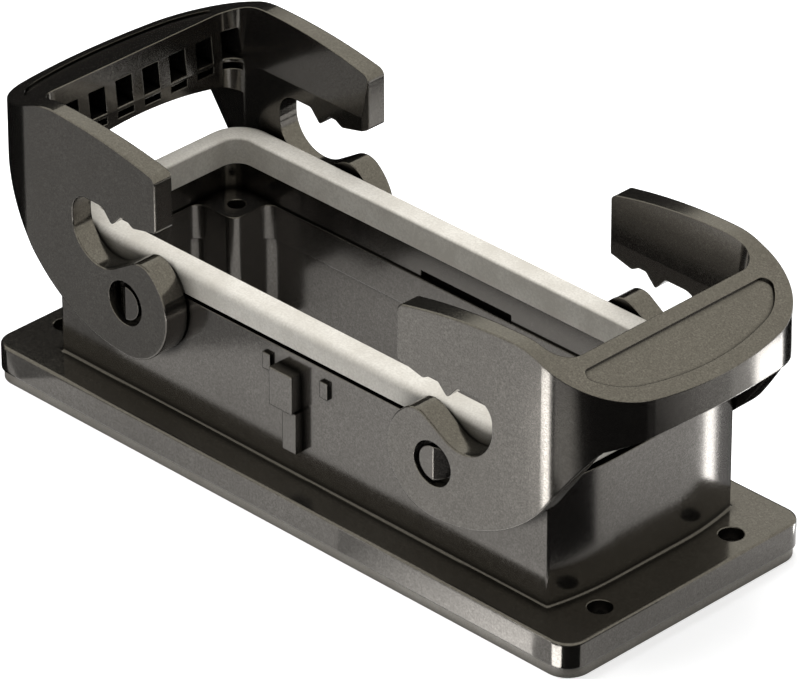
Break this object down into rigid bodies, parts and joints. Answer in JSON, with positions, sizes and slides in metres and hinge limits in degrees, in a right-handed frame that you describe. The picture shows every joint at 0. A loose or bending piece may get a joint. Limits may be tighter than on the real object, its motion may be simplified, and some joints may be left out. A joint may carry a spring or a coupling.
{
  "type": "rectangular connector housing",
  "caption": "Panel mounted rectangular connector housing with a soft rim seal, a flange gasket and two one-piece locking levers that swing open.",
  "frame": {"origin": "middle of the underside of the flange gasket, on the panel's face", "axes": "+X along the housing towards the right locking lever, +Y across it, +Z out of the panel"},
  "size_m": [0.1544, 0.058, 0.0583],
  "materials": {
    "die_cast_body": "fine speckled powder coat",
    "lever_plastic": "fine grained glass filled moulding",
    "seal_rubber": "smooth matt ivory elastomer",
    "gasket_rubber": "smooth matt pale elastomer"
  },
  "bodies": {
    "base": {"housing": "die_cast_body", "flange_gasket": "gasket_rubber", "rim_seal": "seal_rubber"},
    "right_lever": {"right_locking_lever": "lever_plastic"},
    "left_lever": {"left_locking_lever": "lever_plastic"}
  },
  "joints": [
    {"name": "right_lever_pivot", "type": "hinge", "parent": "base", "child": "right_lever", "pos_m": [0.0371, 0, 0.0277], "axis": [0, 1, 0], "range_deg": [0, 50]},
    {"name": "left_lever_pivot", "type": "hinge", "parent": "base", "child": "left_lever", "pos_m": [-0.0371, 0, 0.0277], "axis": [0, -1, 0], "range_deg": [0, 50]}
  ]
}
